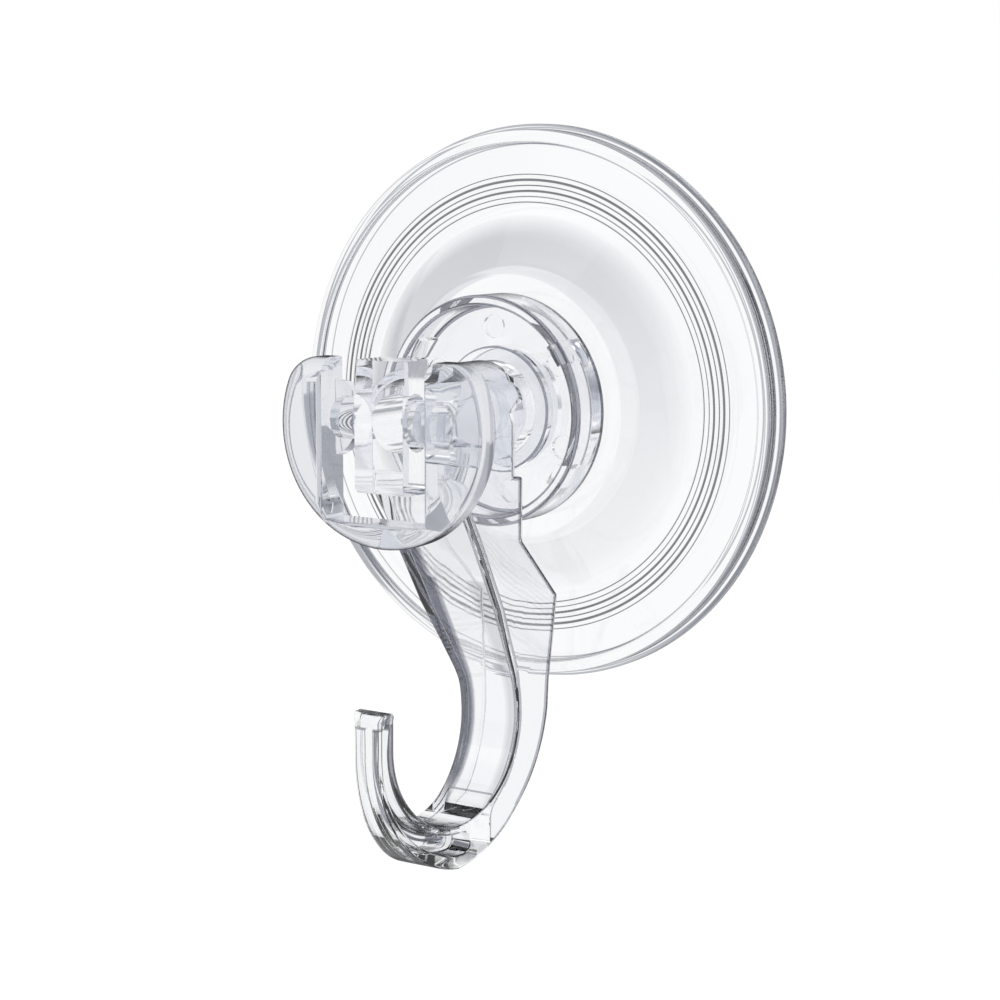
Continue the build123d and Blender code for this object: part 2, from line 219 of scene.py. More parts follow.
def makeMouldedGroup():
    group = bpy.data.node_groups.new("mouldedSurface", "ShaderNodeTree")
    for name, value in (
        ("Wave Scale", 150.0), ("Wave Depth", 0.00004), ("Line Scale", 900.0),
        ("Roughness", 0.02), ("Rubbed", 0.05),
    ):
        socket = group.interface.new_socket(name, in_out="INPUT", socket_type="NodeSocketFloat")
        socket.default_value = value
    for name, kind in (("Normal", "NodeSocketVector"), ("Roughness", "NodeSocketFloat")):
        group.interface.new_socket(name, in_out="OUTPUT", socket_type=kind)
    nodes, links = group.nodes, group.links
    given = nodes.new("NodeGroupInput").outputs
    result = nodes.new("NodeGroupOutput").inputs
    coords = nodes.new("ShaderNodeTexCoord").outputs["Object"]
    waves = nodes.new("ShaderNodeTexNoise")
    waves.inputs["Detail"].default_value = mouldMarks["waveDetail"]
    waves.inputs["Roughness"].default_value = mouldMarks["waveRoughness"]
    links.new(coords, waves.inputs["Vector"])
    links.new(given["Wave Scale"], waves.inputs["Scale"])
    bump = nodes.new("ShaderNodeBump")
    bump.inputs["Strength"].default_value = 1.0
    links.new(given["Wave Depth"], bump.inputs["Distance"])
    links.new(waves.outputs["Fac"], bump.inputs["Height"])
    links.new(bump.outputs["Normal"], result["Normal"])
    stretch = nodes.new("ShaderNodeMapping")
    stretch.inputs["Scale"].default_value = mouldMarks["lineStretch"]
    links.new(coords, stretch.inputs["Vector"])
    lines = nodes.new("ShaderNodeTexNoise")
    lines.inputs["Detail"].default_value = mouldMarks["lineDetail"]
    links.new(stretch.outputs["Vector"], lines.inputs["Vector"])
    links.new(given["Line Scale"], lines.inputs["Scale"])
    patches = ramp(nodes, [
        (mouldMarks["patchFrom"], black), (mouldMarks["patchTo"], full),
    ])
    links.new(lines.outputs["Fac"], patches.inputs[0])
    rubbed = maths(nodes, links, "MULTIPLY", patches.outputs[0], given["Rubbed"])
    rough = maths(nodes, links, "ADD", rubbed, given["Roughness"])
    links.new(rough, result["Roughness"])
    return group


mouldedGroup = makeMouldedGroup()


def mixShaders(nodes, links, share, first, second):
    both = nodes.new("ShaderNodeMixShader")
    for socket, value in zip(both.inputs, (share, first, second)):
        links.new(value, socket)
    return both.outputs[0]


# Light that has crossed many walls goes straight on, so that no wall ends in black
def addShortcut(nodes, links, surface, given):
    depth = nodes.new("ShaderNodeLightPath").outputs["Ray Depth"]
    deep = maths(nodes, links, "GREATER_THAN", depth, given["lastDepth"])
    straight = nodes.new("ShaderNodeBsdfTransparent")
    straight.inputs["Color"].default_value = given["colour"]
    return mixShaders(nodes, links, deep, surface, straight.outputs[0])


# Painted shade: a dark matt shader, mixed in where outer faces are seen nearly edge on, draws a
# thin dark outline where thick walls swallow the light. The faces of the lever's window have none.
def addPaintedOutline(nodes, links, surface, facing, given):
    dark = nodes.new("ShaderNodeBsdfPrincipled")
    dark.inputs["Base Color"].default_value = given["outline"]
    dark.inputs["Roughness"].default_value = 0.8
    dark.inputs["Specular IOR Level"].default_value = 0.0
    most = given["outlineShare"]
    grazing = ramp(nodes, [
        (given["outlineFrom"], black), (given["outlineTo"], (most, most, most, 1)),
    ])
    links.new(facing, grazing.inputs[0])
    inside = nodes.new("ShaderNodeNewGeometry").outputs["Backfacing"]
    outside = maths(nodes, links, "SUBTRACT", 1.0, inside)
    share = product(nodes, links, grazing.outputs[0], outside)
    if "clearHalf" in given:
        place = pieceCoords(nodes, links)[1]
        aside = maths(nodes, links, "ABSOLUTE", place["X"], 0.0)
        beside = maths(nodes, links, "GREATER_THAN", aside, given["clearHalf"])
        below = maths(nodes, links, "LESS_THAN", place["Z"], given["clearLow"])
        share = product(nodes, links, share, maths(nodes, links, "MAXIMUM", beside, below))
    return mixShaders(nodes, links, share, surface, dark.outputs[0])


# A clear plastic from its finish. It gives the material and the tone of its walls, which
# a piece's own marks are mixed into. The tone holds painted shade: the edge colour where a
# face is seen edge on, and on the small roundings marked for it.
def clearPlastic(name, given):
    material = bpy.data.materials.new(name)
    material.use_nodes = True
    nodes, links = material.node_tree.nodes, material.node_tree.links
    shader = nodes["Principled BSDF"]
    shader.inputs["IOR"].default_value = given["ior"]
    shader.inputs["Transmission Weight"].default_value = 1.0
    moulded = nodes.new("ShaderNodeGroup")
    moulded.node_tree = mouldedGroup
    for socket, value in given["surface"].items():
        moulded.inputs[socket].default_value = value
    links.new(moulded.outputs["Normal"], shader.inputs["Normal"])
    links.new(moulded.outputs["Roughness"], shader.inputs["Roughness"])
    layer = nodes.new("ShaderNodeLayerWeight")
    layer.inputs["Blend"].default_value = 0.5
    facing = layer.outputs["Facing"]
    # painted shade: faces seen edge on darken to the edge colour
    rim = ramp(nodes, [(given["edgeShadeFrom"], black), (given["edgeShadeTo"], full)])
    links.new(facing, rim.inputs[0])
    tone = mixColours(nodes, links, rim.outputs[0], given["colour"], given["edge"])
    # painted shade: dark edge lines on the small roundings that the mesh marks
    edgeShade = nodes.new("ShaderNodeAttribute")
    edgeShade.attribute_name = "paintedEdgeShade"
    tone = mixColours(nodes, links, edgeShade.outputs["Fac"], tone, given["edge"])
    if "toneDepth" in given:  # deeper hits keep the light as it is
        depth = nodes.new("ShaderNodeLightPath").outputs["Ray Depth"]
        late = maths(nodes, links, "GREATER_THAN", depth, given["toneDepth"])
        tone = mixColours(nodes, links, late, tone, full)
    links.new(tone, shader.inputs["Base Color"])
    surface = shader.outputs[0]
    if "outline" in given:
        surface = addPaintedOutline(nodes, links, surface, facing, given)
    surface = addShortcut(nodes, links, surface, given)
    links.new(surface, nodes["Material Output"].inputs["Surface"])
    return material, tone


# The moulded hard parts: one plastic, but thick parts are a little greyer. Each finish's edge and
# outline colours are painted shade on faces seen edge on and on small roundings, and the hook's
# wall colour is painted shade for the dark bands where light crosses its side walls from the front
discFinish = {
    "colour": (0.96, 0.965, 0.975, 1), "ior": 1.40, "lastDepth": 4.5,
    "outline": (0.04, 0.042, 0.05, 1), "outlineShare": 0.7,
    "outlineFrom": 0.78, "outlineTo": 0.95,
    "edge": (0.14, 0.15, 0.18, 1), "edgeShadeFrom": 0.80, "edgeShadeTo": 0.98,
    # painted shade for the line along the wall's back edge
    "backEdgeShade": (0.05, 0.053, 0.065, 1), "backRadius": 0.0168, "backDepth": 0.0101,
    "surface": {"Wave Scale": 150.0, "Wave Depth": 0.00004, "Roughness": 0.015, "Rubbed": 0.05},
}
stemFinish = {
    "colour": (0.93, 0.935, 0.95, 1), "ior": 1.36, "lastDepth": 4.5, "toneDepth": 2.5,
    "edge": (0.40, 0.42, 0.47, 1), "edgeShadeFrom": 0.80, "edgeShadeTo": 0.98,
    "surface": {"Wave Scale": 60.0, "Wave Depth": 0.00001, "Roughness": 0.015, "Rubbed": 0.05},
}
leverFinish = {
    "colour": (0.80, 0.815, 0.845, 1), "ior": 1.38, "lastDepth": 4.5, "toneDepth": 2.5,
    "outline": (0.03, 0.032, 0.04, 1), "outlineShare": 0.95,
    "outlineFrom": 0.60, "outlineTo": 0.84, "clearHalf": 0.0094, "clearLow": -0.0142,
    "edge": (0.40, 0.42, 0.47, 1), "edgeShadeFrom": 0.38, "edgeShadeTo": 0.96,
    "surface": {"Wave Scale": 110.0, "Wave Depth": 0.00006, "Roughness": 0.02, "Rubbed": 0.06},
}
hookFinish = {
    "colour": (0.90, 0.91, 0.93, 1), "ior": 1.52, "lastDepth": 6.5, "toneDepth": 1.5,
    "outline": (0.04, 0.042, 0.05, 1), "outlineShare": 0.85,
    "outlineFrom": 0.62, "outlineTo": 0.86,
    "edge": (0.20, 0.21, 0.25, 1), "edgeShadeFrom": 0.78, "edgeShadeTo": 0.99,
    "surface": {"Wave Scale": 130.0, "Wave Depth": 0.00007, "Roughness": 0.02, "Rubbed": 0.07},
    "frontFrom": -0.45, "frontTo": -0.75,  # how squarely a face looks into the room
    # painted shade: the colours below darken the hook's front over its walls and slant, and its
    # flange lines
    "wallTop": -0.024,
    "wall": (0.14, 0.15, 0.185, 1), "wallFrom": 0.0028, "wallTo": 0.0034,
    "leftWallShade": 1.0, "rightWallShade": 0.3,
    "flange": (0.10, 0.105, 0.13, 1), "throatDepth": 0.028, "throatHeight": -0.0462,
    "flangeShadeLines": ((0.0140, 0.0145), (0.0150, 0.0158), (0.0162, 0.0166)),
    "flangeSide": 0.5,
    "slantShade": (0.14, 0.15, 0.195, 1), "bandFrom": 0.0036, "bandTo": 0.0042,
    "bandTop": -0.018, "bandLow": -0.040,
}


# Painted shade: a dark line on the disc's wall along its back edge
def makeDiscClear():
    given = discFinish
    material, tone = clearPlastic("discClear", given)
    nodes, links = material.node_tree.nodes, material.node_tree.links
    coords, place = pieceCoords(nodes, links)
    radius = axisDistance(nodes, links, coords)
    outer = maths(nodes, links, "GREATER_THAN", radius, given["backRadius"])
    back = maths(nodes, links, "GREATER_THAN", place["Y"], -given["backDepth"])
    line = product(nodes, links, outer, back)
    tone = mixColours(nodes, links, line, tone, given["backEdgeShade"])
    links.new(tone, nodes["Principled BSDF"].inputs["Base Color"])
    return material


# Painted shade on the hook: dark bands on its front over its side walls, and thin dark lines on
# the sides of its J along the flange round the throat
def makeHookClear():
    given = hookFinish
    material, tone = clearPlastic("hookClear", given)
    nodes, links = material.node_tree.nodes, material.node_tree.links
    place = pieceCoords(nodes, links)[1]
    facing = nodes.new("ShaderNodeSeparateXYZ")
    links.new(nodes.new("ShaderNodeNewGeometry").outputs["Normal"], facing.inputs[0])
    front = mapRange(
        nodes, links, facing.outputs["Y"], given["frontFrom"], given["frontTo"],
    )
    # painted shade: dark bands on the front over the side walls, strongest at the left
    wallShades = []
    for side, strength in ((-1, given["leftWallShade"]), (1, given["rightWallShade"])):
        wall = mapRange(
            nodes, links, place["X"], side * given["wallFrom"], side * given["wallTo"],
            highest=strength,
        )
        wall.node.interpolation_type = "SMOOTHSTEP"
        wallShades.append(wall)
    wall = maths(nodes, links, "MAXIMUM", *wallShades)
    low = maths(nodes, links, "LESS_THAN", place["Z"], given["wallTop"])
    zone = product(nodes, links, wall, front, low)
    tone = mixColours(nodes, links, zone, tone, given["wall"])
    # painted shade: a darker band along the left part of the slant
    slantShade = mapRange(nodes, links, place["X"], -given["bandFrom"], -given["bandTo"])
    under = maths(nodes, links, "LESS_THAN", place["Z"], given["bandTop"])
    above = maths(nodes, links, "GREATER_THAN", place["Z"], given["bandLow"])
    zone = product(nodes, links, slantShade, front, under, above)
    tone = mixColours(nodes, links, zone, tone, given["slantShade"])
    depth = maths(nodes, links, "SUBTRACT", -given["throatDepth"], place["Y"])
    drop = maths(nodes, links, "SUBTRACT", place["Z"], given["throatHeight"])
    drop = maths(nodes, links, "MINIMUM", drop, 0.0)
    squares = [product(nodes, links, value, value) for value in (depth, drop)]
    radius = maths(nodes, links, "SQRT", maths(nodes, links, "ADD", *squares), 0.0)
    # painted shade: thin dark lines on the J's side faces along the flange
    lines = 0.0
    for inner, outer in given["flangeShadeLines"]:
        over = maths(nodes, links, "GREATER_THAN", radius, inner)
        inside = maths(nodes, links, "LESS_THAN", radius, outer)
        lines = maths(nodes, links, "MAXIMUM", product(nodes, links, over, inside), lines)
    beside = maths(nodes, links, "ABSOLUTE", facing.outputs["X"], 0.0)
    beside = maths(nodes, links, "GREATER_THAN", beside, given["flangeSide"])
    ahead = maths(nodes, links, "LESS_THAN", place["Y"], -given["throatDepth"])
    lines = product(nodes, links, lines, beside, ahead)
    tone = mixColours(nodes, links, lines, tone, given["flange"])
    links.new(tone, nodes["Principled BSDF"].inputs["Base Color"])
    return material


discClear = makeDiscClear()
stemClear = clearPlastic("stemClear", stemFinish)[0]
leverClear = clearPlastic("leverClear", leverFinish)[0]
hookClear = makeHookClear()


# The flexible cup: painted shade in its cone, darker towards its upper left, and painted shade
# that darkens its ring grooves and the edges of its rim. Lengths are in metres, but a groove
# line's middle and half width, and the blur at its sides, are in mm.
softSettings = {
    "colour": (0.96, 0.965, 0.975, 1), "ior": 1.50, "lastDepth": 8.5,
    "outline": (0.04, 0.042, 0.05, 1), "outlineShare": 0.7,
    "outlineFrom": 0.80, "outlineTo": 0.95,
    "edge": (0.24, 0.255, 0.29, 1), "edgeShadeFrom": 0.72, "edgeShadeTo": 0.97,
    "surface": {"Wave Scale": 90.0, "Wave Depth": 0.00006, "Roughness": 0.03, "Rubbed": 0.08},
    # painted shade: the cone, groove and rim colours and where they go
    "coneShade": (0.60, 0.615, 0.65, 1), "coneShadeInner": 0.0200, "coneShadeOuter": 0.0289,
    "coneShadeStops": ((0.0, 0), (0.03, 1), (0.60, 1), (1.0, 0)),
    "coneShadeSide": (-0.5, 0.0, 0.866), "coneShadeLeast": 0.22,
    "grooveShade": (0.04, 0.043, 0.05, 1), "grooveInner": 0.0303, "grooveOuter": 0.0355,
    "grooveFront": -0.0028, "grooveBlur": 0.07,
    "grooveLines": (
        (30.80, 0.06), (31.64, 0.05), (32.48, 0.15), (33.32, 0.07), (34.16, 0.17), (35.00, 0.05),
    ),
    "rim": (0.22, 0.235, 0.27, 1), "rimInner": 0.0385, "rimOuter": 0.0427,
    "rimStops": (
        (0.235, 0), (0.26, 1), (0.29, 1), (0.315, 0), (0.72, 0), (0.745, 1), (0.785, 1), (0.81, 0),
        (0.875, 0), (0.895, 1), (1.0, 1),
    ),
}


# A mask between two distances from the cup's axis, from stops of position and strength
def ringMask(nodes, links, radius, inner, outer, stops):
    shadeRings = ramp(nodes, [(position, full if marked else black) for position, marked in stops])
    links.new(mapRange(nodes, links, radius, inner, outer), shadeRings.inputs[0])
    return shadeRings.outputs[0]


def makeSoftClear():
    given = softSettings
    material, tone = clearPlastic("softClear", given)
    nodes, links = material.node_tree.nodes, material.node_tree.links
    coords, place = pieceCoords(nodes, links)
    radius = axisDistance(nodes, links, coords)
    # painted shade in the cone ring, darker towards the upper left
    zone = ringMask(
        nodes, links, radius, given["coneShadeInner"], given["coneShadeOuter"], given["coneShadeStops"],
    )
    side = dotWith(nodes, links, coords, given["coneShadeSide"])
    share = mapRange(
        nodes, links, side, -given["coneShadeOuter"], given["coneShadeOuter"], lowest=given["coneShadeLeast"],
    )
    coneShade = product(nodes, links, zone, share)
    tone = mixColours(nodes, links, coneShade, tone, given["coneShade"])
    # painted shade: dark lines over the ring grooves on the cup's front
    first, blur = given["grooveInner"], given["grooveBlur"]
    width = given["grooveOuter"] - first
    stops = []
    for middle, half in given["grooveLines"]:
        for offset, marked in ((-half - blur, 0), (-half, 1), (half, 1), (half + blur, 0)):
            stops.append((((middle + offset) / 1000 - first) / width, marked))
    grooves = ringMask(nodes, links, radius, first, given["grooveOuter"], stops)
    front = maths(nodes, links, "LESS_THAN", place["Y"], given["grooveFront"])
    lines = product(nodes, links, grooves, front)
    tone = mixColours(nodes, links, lines, tone, given["grooveShade"])
    # painted shade: dark rings at the edges of the rim
    shadeRings = ringMask(
        nodes, links, radius, given["rimInner"], given["rimOuter"], given["rimStops"],
    )
    tone = mixColours(nodes, links, shadeRings, tone, given["rim"])
    links.new(tone, nodes["Principled BSDF"].inputs["Base Color"])
    return material


softClear = makeSoftClear()
print("materials made")


# The pieces are modelled in mm, and finishPiece brings them to metres
arcStep = 4.0  # degrees of arc between two points of a curve
weld = 0.0005  # points closer than this are one
sharpAngle = 38  # degrees: a sharper edge gets a rounding
smoothAngle = 32  # degrees: the shading runs on over a flatter edge


def atSide(point):  # a point of the side view: depth out from the wall, height
    return Vector((0, -point[0], point[1]))


def atFront(point):  # a point of the front view: sideways, height
    return Vector((point[0], 0, point[1]))


# A pen that draws a closed outline and fills it. A move is a point to go to,
# or a centre and the angle to swing round it, in degrees against the clock.
def drawOutline(bm, place, start, moves):
    axis = (-1, 0, 0) if place is atSide else (0, -1, 0)
    last = bm.verts.new(place(start))
    for move in moves:
        if len(move) == 2:
            last = bmesh.ops.extrude_vert_indiv(bm, verts=[last])["verts"][0]
            last.co = place(move)
        else:
            swing = move[2]
            made = bmesh.ops.spin(
                bm, geom=[last], cent=place(move), axis=axis, angle=radians(swing),
                steps=max(4, round(abs(swing) / arcStep)), use_duplicate=False,
            )
            last = [v for v in made["geom_last"] if isinstance(v, bmesh.types.BMVert)][0]
    bmesh.ops.remove_doubles(bm, verts=bm.verts[:], dist=0.01)
    bmesh.ops.contextual_create(bm, geom=bm.edges[:])


# Centre and swing of an arc between two points that stands out to the left by a bulge
def bulgeArc(start, end, bulge):
    run, rise = end[0] - start[0], end[1] - start[1]
    chord = hypot(run, rise)
    radius = chord * chord / (8 * bulge) + bulge / 2
    reach = radius - bulge
    return (
        (start[0] + end[0]) / 2 + rise / chord * reach,
        (start[1] + end[1]) / 2 - run / chord * reach,
        -degrees(2 * asin(chord / 2 / radius)),
    )


# The two moves that round a corner: to the start of the round, and round it
def cornerArc(before, corner, after, radius):
    corner = Vector(corner)
    back = (Vector(before) - corner).normalized()
    ahead = (Vector(after) - corner).normalized()
    half = acos(back.dot(ahead)) / 2
    start = corner + back * radius / tan(half)
    centre = corner + (back + ahead).normalized() * radius / sin(half)
    side = 1 if back.cross(ahead) < 0 else -1
    return (start.x, start.y), (centre.x, centre.y, side * (180 - degrees(2 * half)))


def prism(place, start, moves, low, high, name, bevels=()):
    bm = bmesh.new()
    drawOutline(bm, place, start, moves)
    axis = Vector((1, 0, 0)) if place is atSide else Vector((0, -1, 0))
    bmesh.ops.translate(bm, verts=bm.verts[:], vec=axis * low)
    thicken(bm, axis * (high - low))
    for test, width, segments in bevels:
        roundEdges(bm, test, width, segments)
    return toObject(bm, name)


def rod(centre, axis, radius, length, name):
    turn = Vector((0, 0, 1)).rotation_difference(Vector(axis)).to_matrix().to_4x4()
    bm = bmesh.new()
    bmesh.ops.create_cone(
        bm, cap_ends=True, segments=96, radius1=radius, radius2=radius,
        depth=length, matrix=Matrix.Translation(centre) @ turn,
    )
    return toObject(bm, name)


def thicken(bm, direction):
    made = bmesh.ops.extrude_face_region(bm, geom=bm.faces[:])
    moved = [v for v in made["geom"] if isinstance(v, bmesh.types.BMVert)]
    bmesh.ops.translate(bm, verts=moved, vec=direction)
    bmesh.ops.recalc_face_normals(bm, faces=bm.faces[:])


def roundEdges(bm, test, width, segments=4):
    edges = [e for e in bm.edges if test(e.verts[0].co) and test(e.verts[1].co)]
    bmesh.ops.bevel(
        bm, geom=edges, offset=width, segments=segments, affect="EDGES",
        profile=0.5, material=-1, clamp_overlap=True,
    )


def toObject(bm, name):
    bmesh.ops.remove_doubles(bm, verts=bm.verts[:], dist=weld)
    bmesh.ops.recalc_face_normals(bm, faces=bm.faces[:])
    mesh = bpy.data.meshes.new(name)
    bm.to_mesh(mesh)
    bm.free()
    piece = bpy.data.objects.new(name, mesh)
    scene.collection.objects.link(piece)
    return piece


def bake(piece):
    graph = bpy.context.evaluated_depsgraph_get()
    mesh = bpy.data.meshes.new_from_object(piece.evaluated_get(graph))
    piece.modifiers.clear()
    piece.data = mesh


def combine(piece, tool, operation):
    step = piece.modifiers.new("combine", "BOOLEAN")
    step.operation = operation
    step.solver = "EXACT"
    step.object = tool
    bake(piece)
    bpy.data.objects.remove(tool)


# Rounds all sharp edges, or with the limit WEIGHT each edge by its own weight
def roundPiece(piece, width, limit="ANGLE"):
    edge = piece.modifiers.new("edges", "BEVEL")
    edge.width = width
    edge.segments = 3
    edge.limit_method = limit
    edge.angle_limit = radians(sharpAngle)
    edge.use_clamp_overlap = limit == "ANGLE"
    bake(piece)


def finishPiece(piece, body, material, slot, *nodes, bevel=0.0, share=1.0, sideShade=None):
    if bevel:
        roundPiece(piece, bevel)
    mesh = piece.data
    mesh.transform(Matrix.Scale(0.001, 4))  # mm to metres
    mesh.materials.clear()
    mesh.materials.append(material)
    mesh.shade_smooth()
    mesh.set_sharp_from_angle(angle=radians(smoothAngle))
    even = piece.modifiers.new("evenShading", "WEIGHTED_NORMAL")
    even.mode = "FACE_AREA"
    even.weight = 80
    even.keep_sharp = True
    bake(piece)
    mesh = piece.data
    markEdgeShade(mesh, share, sideShade)
    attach(piece, body)
    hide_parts(*nodes)
    print(piece.name, len(mesh.polygons), "faces")


# Marks the small roundings of a piece, where clear plastic draws its dark edge lines as painted
# shade: narrow faces with a slight bend at both long sides. The painted shade of further faces
# comes from the side tone function, when one is given.
narrowFace = {"widest": 0.0004, "leastBend": 10, "mostBend": 50}


def markEdgeShade(mesh, share, sideShade=None):
    bm = bmesh.new()
    bm.from_mesh(mesh)
    layer = bm.faces.layers.float.new("paintedEdgeShade")
    for face in bm.faces:
        sides = sorted(face.edges, key=lambda edge: -edge.calc_length())[:2]
        longest = sides[0].calc_length()
        narrow = longest > 0 and face.calc_area() / longest < narrowFace["widest"]
        bends = [degrees(edge.calc_face_angle(0.0)) for edge in sides]
        slight = min(bends) > narrowFace["leastBend"] and max(bends) < narrowFace["mostBend"]
        face[layer] = share if narrow and slight else 0.0
        if sideShade:
            face[layer] = max(face[layer], sideShade(face))
    bm.to_mesh(mesh)
    bm.free()


# A line of points, radius and depth, spun round the cup's axis
def spinProfile(bm, points, closed, steps=256):
    verts = [bm.verts.new((r, -d, 0)) for r, d in points]
    edges = [bm.edges.new(pair) for pair in zip(verts, verts[1:])]
    if closed:
        edges.append(bm.edges.new((verts[-1], verts[0])))
    bmesh.ops.spin(
        bm, geom=verts + edges, cent=(0, 0, 0), axis=(0, 1, 0), angle=2 * pi,
        steps=steps, use_merge=True, use_duplicate=False,
    )
    bmesh.ops.remove_doubles(bm, verts=bm.verts[:], dist=weld)


# Picks the points of one ring edge, for its rounding
def onRing(radius, depth):
    return lambda co: abs(hypot(co.x, co.z) - radius) < 0.05 and abs(-co.y - depth) < 0.02


# Suction cup
cup = {
    "radius": 42.6, "lip": 1.3, "beadOuter": 41.8, "beadInner": 39.8, "bead": 4.2,
    "flat": 3.3, "grooveFirst": 30.8, "groovePitch": 0.84, "grooves": 6,
    "grooveDepth": 0.15, "grooveHalf": 0.22, "coneOuter": 28.9, "coneInner": 20.4,
    "hub": 9.0, "dish": 4.0, "dishOuter": 30.0, "beadFoot": 0.4,
    "bore": 4.25, "seatRadius": 9.05, "seatBack": 5.75, "seatFront": 7.65,
    "roundings": (
        ("coneOuter", "flat", 0.45, 5), ("coneInner", "hub", 0.45, 5),
        ("coneInner", "dish", 0.4, 5), ("beadOuter", "bead", 0.6, 4),
        ("beadInner", "bead", 0.6, 4), ("radius", "lip", 0.3, 4),
    ),
}


def makeCup():
    c = cup
    points = [
        (0, c["dish"]), (c["coneInner"], c["dish"]), (c["dishOuter"], 0), (c["radius"], 0),
        (c["radius"], c["lip"]), (c["beadOuter"], c["lip"] + c["beadFoot"]),
        (c["beadOuter"], c["bead"]), (c["beadInner"], c["bead"]), (c["beadInner"], c["flat"]),
    ]
    for index in reversed(range(c["grooves"])):
        r = c["grooveFirst"] + index * c["groovePitch"]
        points += [
            (r + c["grooveHalf"], c["flat"]), (r, c["flat"] - c["grooveDepth"]),
            (r - c["grooveHalf"], c["flat"]),
        ]
    points += [
        (c["coneOuter"], c["flat"]), (c["coneInner"], c["hub"]), (c["bore"], c["hub"]),
        (c["bore"], c["seatFront"]), (c["seatRadius"], c["seatFront"]),
        (c["seatRadius"], c["seatBack"]), (0, c["seatBack"]),
    ]
    bm = bmesh.new()
    spinProfile(bm, points, False)
    for radius, depth, width, segments in c["roundings"]:
        roundEdges(bm, onRing(c[radius], c[depth]), width, segments)
    piece = toObject(bm, "clear_cup")
    finishPiece(piece, "cup", softClear, "soft_clear", "suction_cup", share=0.0)


makeCup()


# Pressure disc
disc = {
    "radius": 17.3, "wall": 1.6, "back": 9.1, "floor": 11.1, "front": 16.2,
    "ring": 9.5, "ringTop": 12.6, "neck": 7.4, "neckTop": 15.8, "hole": 4.5,
    "marks": 6, "markRadius": 1.8, "markCircle": 12.4, "markTurn": 5, "markDepth": 0.6,
    "keyAngles": (35, 145, 215, 325), "keyWidth": 3.4, "keyThickness": 0.8,
    "keySunk": 0.4, "keyRecess": 0.6,
    "frontRound": 0.45, "smallRound": 0.3, "floorRound": 0.5, "edge": 0.15,
}


def makeDisc():
    d = disc
    inner = d["radius"] - d["wall"]
    points = [
        (d["hole"], d["back"]), (d["radius"], d["back"]), (d["radius"], d["front"]),
        (inner, d["front"]), (inner, d["floor"]), (d["ring"], d["floor"]),
        (d["ring"], d["ringTop"]), (d["neck"], d["ringTop"]), (d["neck"], d["neckTop"]),
        (d["hole"], d["neckTop"]),
    ]
    bm = bmesh.new()
    spinProfile(bm, points, True, 192)
    for radius, depth, width in (
        (d["radius"], d["front"], d["frontRound"]), (inner, d["front"], d["frontRound"]),
        (d["radius"], d["back"], d["smallRound"]), (d["ring"], d["ringTop"], d["smallRound"]),
        (inner, d["floor"], d["floorRound"]),
    ):
        roundEdges(bm, onRing(radius, depth), width)
    piece = toObject(bm, "clear_disc")
    bm = bmesh.new()
    for index in range(d["marks"]):
        turn = radians(90 + d["markTurn"] + 360 / d["marks"] * index)
        place = Matrix.Translation((
            d["markCircle"] * cos(turn), -d["floor"], d["markCircle"] * sin(turn),
        )) @ Matrix.Rotation(pi / 2, 4, "X")
        bmesh.ops.create_cone(
            bm, cap_ends=True, segments=48, radius1=d["markRadius"], radius2=d["markRadius"],
            depth=2 * d["markDepth"], matrix=place,
        )
    combine(piece, toObject(bm, "marks"), "DIFFERENCE")
    bm = bmesh.new()
    height, thickness, sunk = d["front"] - d["floor"], d["keyThickness"], d["keySunk"]
    for angle in d["keyAngles"]:
        place = Matrix.Rotation(-radians(angle), 4, "Y") @ Matrix.Translation((
            inner - thickness / 2 + sunk, -d["floor"] - height / 2 + d["keyRecess"], 0,
        )) @ Matrix.Diagonal((thickness + 2 * sunk, height, d["keyWidth"], 1))
        bmesh.ops.create_cube(bm, size=1.0, matrix=place)
    combine(piece, toObject(bm, "keys"), "UNION")
    finishPiece(piece, "hook", discClear, "hard_clear", "pressure_disc", bevel=d["edge"])


makeDisc()


# Stem: post, flange and flat head. The cross pin, clear in clear and tight in its bores,
# can't be seen, so this piece stands for it too
stem = {
    "radius": 4.2, "flangeRadius": 9.0, "flangeBack": 5.8, "flangeFront": 7.6,
    "headHalf": 4.2, "headBack": 35.4, "headFront": 41.8, "headTop": 9.2,
    "headBottom": -9.8, "stepHeight": 5.9, "step": 0.5, "corner": 1.2,
    "postSunk": 0.6, "pinDepth": 38.2, "pinHeight": 0.5, "edge": 0.25,
}


def makeStem():
    m = stem
    bm = bmesh.new()
    spinProfile(bm, [
        (0, m["flangeBack"]), (m["flangeRadius"], m["flangeBack"]),
        (m["flangeRadius"], m["flangeFront"]), (m["radius"], m["flangeFront"]),
        (m["radius"], m["headBack"] + m["postSunk"]), (0, m["headBack"] + m["postSunk"]),
    ], False, 128)
    piece = toObject(bm, "clear_stem")
    back, front = m["headBack"], m["headFront"]
    low = (front, m["headBottom"])
    lowBack = (back, m["headBottom"])
    head = prism(atSide, (back, m["headTop"]), [
        (front - m["step"], m["headTop"]), (front - m["step"], m["stepHeight"]),
        (front, m["stepHeight"]), *cornerArc((front, 0), low, lowBack, m["corner"]),
        *cornerArc(low, lowBack, (back, 0), m["corner"]),
    ], -m["headHalf"], m["headHalf"], "head")
    combine(piece, head, "UNION")
    finishPiece(piece, "cup", stemClear, "hard_clear", "stem", "cross_pin", bevel=m["edge"])


makeStem()


